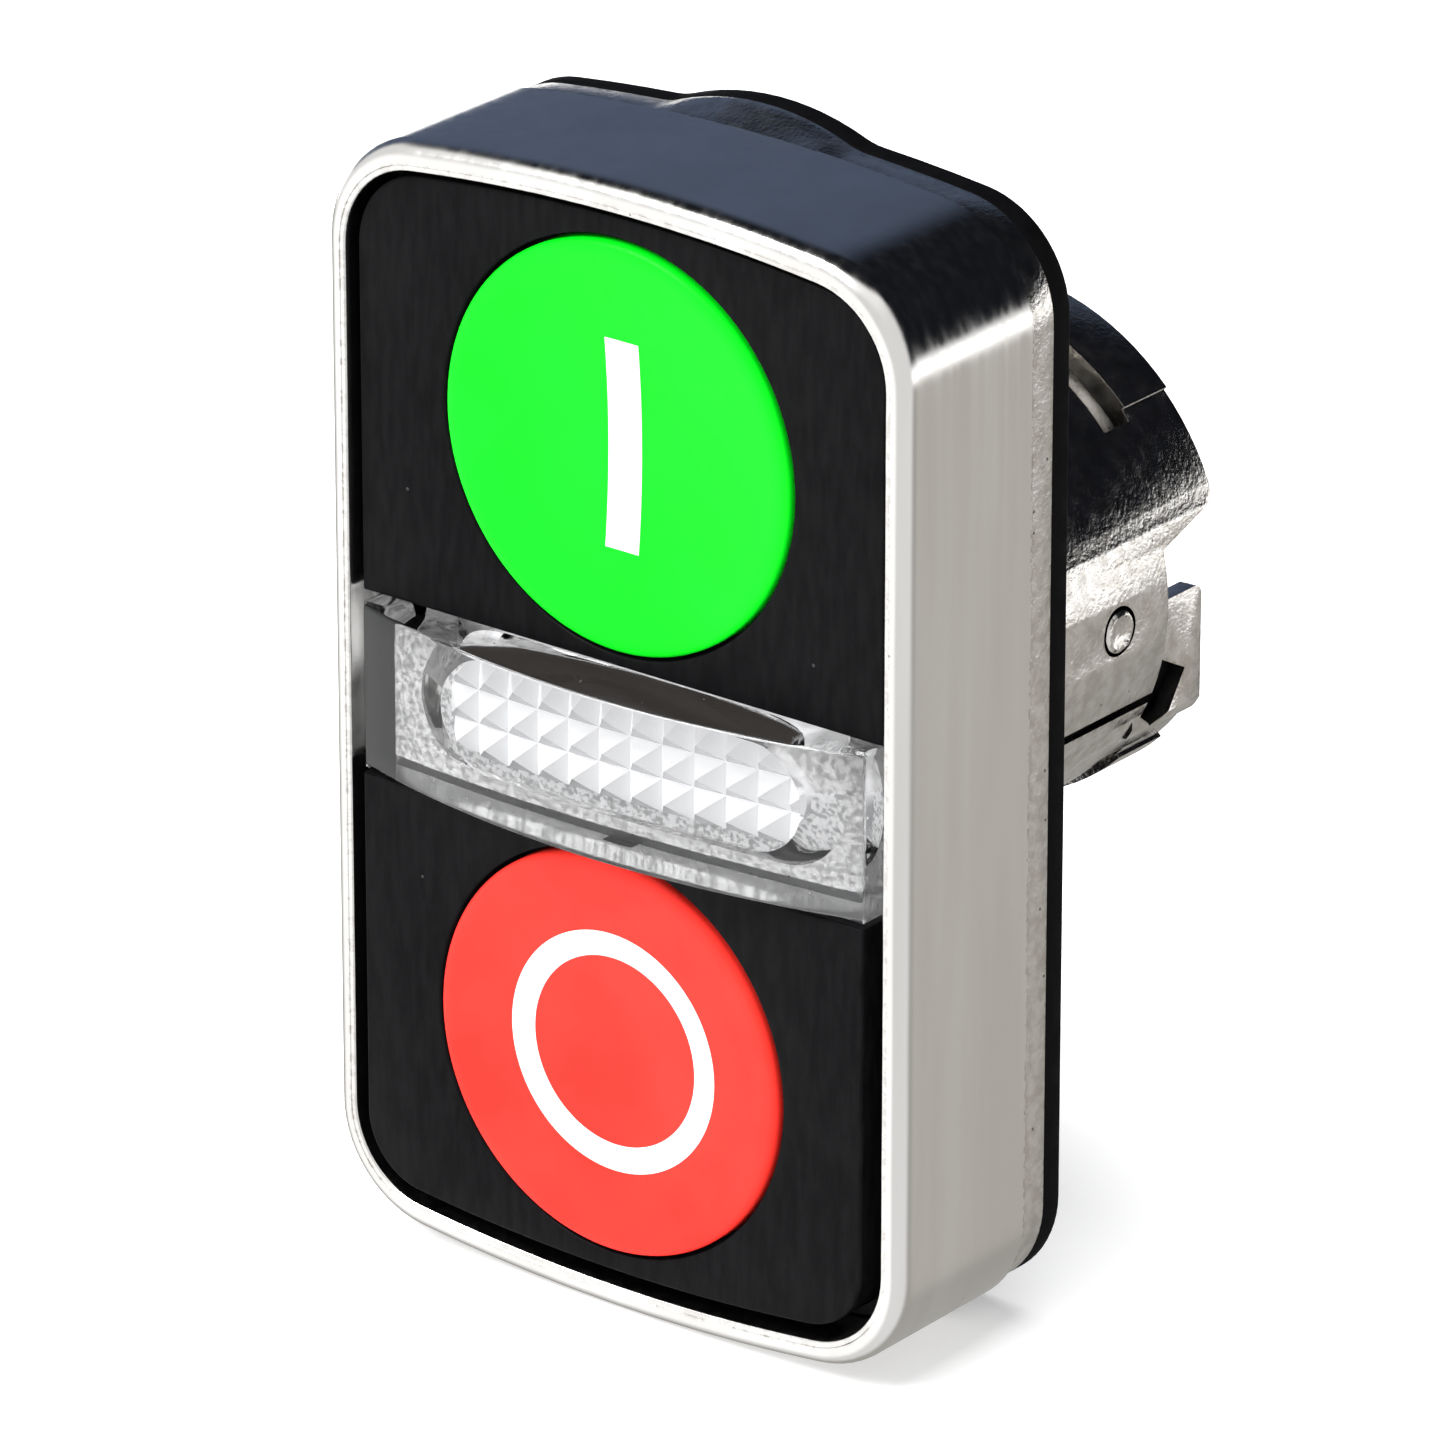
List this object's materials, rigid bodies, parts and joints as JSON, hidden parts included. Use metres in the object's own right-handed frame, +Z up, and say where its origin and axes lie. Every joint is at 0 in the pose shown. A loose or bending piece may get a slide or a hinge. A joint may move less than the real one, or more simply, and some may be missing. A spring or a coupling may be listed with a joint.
{
  "type": "double push button head",
  "caption": "Double-headed illuminated push-button head: chromed bezel, flush start and proud stop button, clear pilot lens, round tail for a panel hole.",
  "frame": {"origin": "on the tail's axis, in the plane where the panel gasket's back face seats on the panel", "axes": "+Y runs back along the tail into the panel, so the buttons face -Y; +Z is up, towards the green button; +X is to the right seen from the front"},
  "size_m": [0.03, 0.0297, 0.0506],
  "materials": {
    "chromed_zinc": "polished rim, satin sides",
    "plated_tail": "bright plated casting",
    "gasket_rubber": "matte",
    "black_plastic": "satin",
    "inner_black": "matte",
    "spring_steel": "drawn",
    "clear_lens": "polished clear polycarbonate",
    "prism_white": "glossy prisms",
    "holder_grey": "frosted",
    "green_plastic": "satin moulded",
    "red_plastic": "satin moulded",
    "white_plastic": "satin moulded"
  },
  "bodies": {
    "head": {"bezel_frame": "chromed_zinc", "mounting_body": "plated_tail", "panel_gasket": "gasket_rubber", "carrier_frame": "inner_black", "spring_plate": "spring_steel", "upper_surround": "black_plastic", "lower_surround": "black_plastic", "lens": "clear_lens", "diffuser": "prism_white", "diffuser_holder": "holder_grey", "light_guide": "clear_lens", "tail_insert": "inner_black", "insert_pin": "plated_tail", "green_spring": "spring_steel", "green_seal": "gasket_rubber", "red_spring": "spring_steel", "red_seal": "gasket_rubber"},
    "green_button": {"green_cap": "green_plastic", "green_mark": "white_plastic", "green_plunger": "inner_black"},
    "red_button": {"red_cap": "red_plastic", "red_mark": "white_plastic", "red_plunger": "inner_black"}
  },
  "joints": [
    {"name": "green_press", "type": "slide", "parent": "head", "child": "green_button", "axis": [0, 1, 0], "range_m": [0, 0.004], "stiffness_N_per_m": 600, "springref_m": -0.003, "deforming": ["green_spring"]},
    {"name": "red_press", "type": "slide", "parent": "head", "child": "red_button", "axis": [0, 1, 0], "range_m": [0, 0.004], "stiffness_N_per_m": 600, "springref_m": -0.003, "deforming": ["red_spring"]}
  ]
}
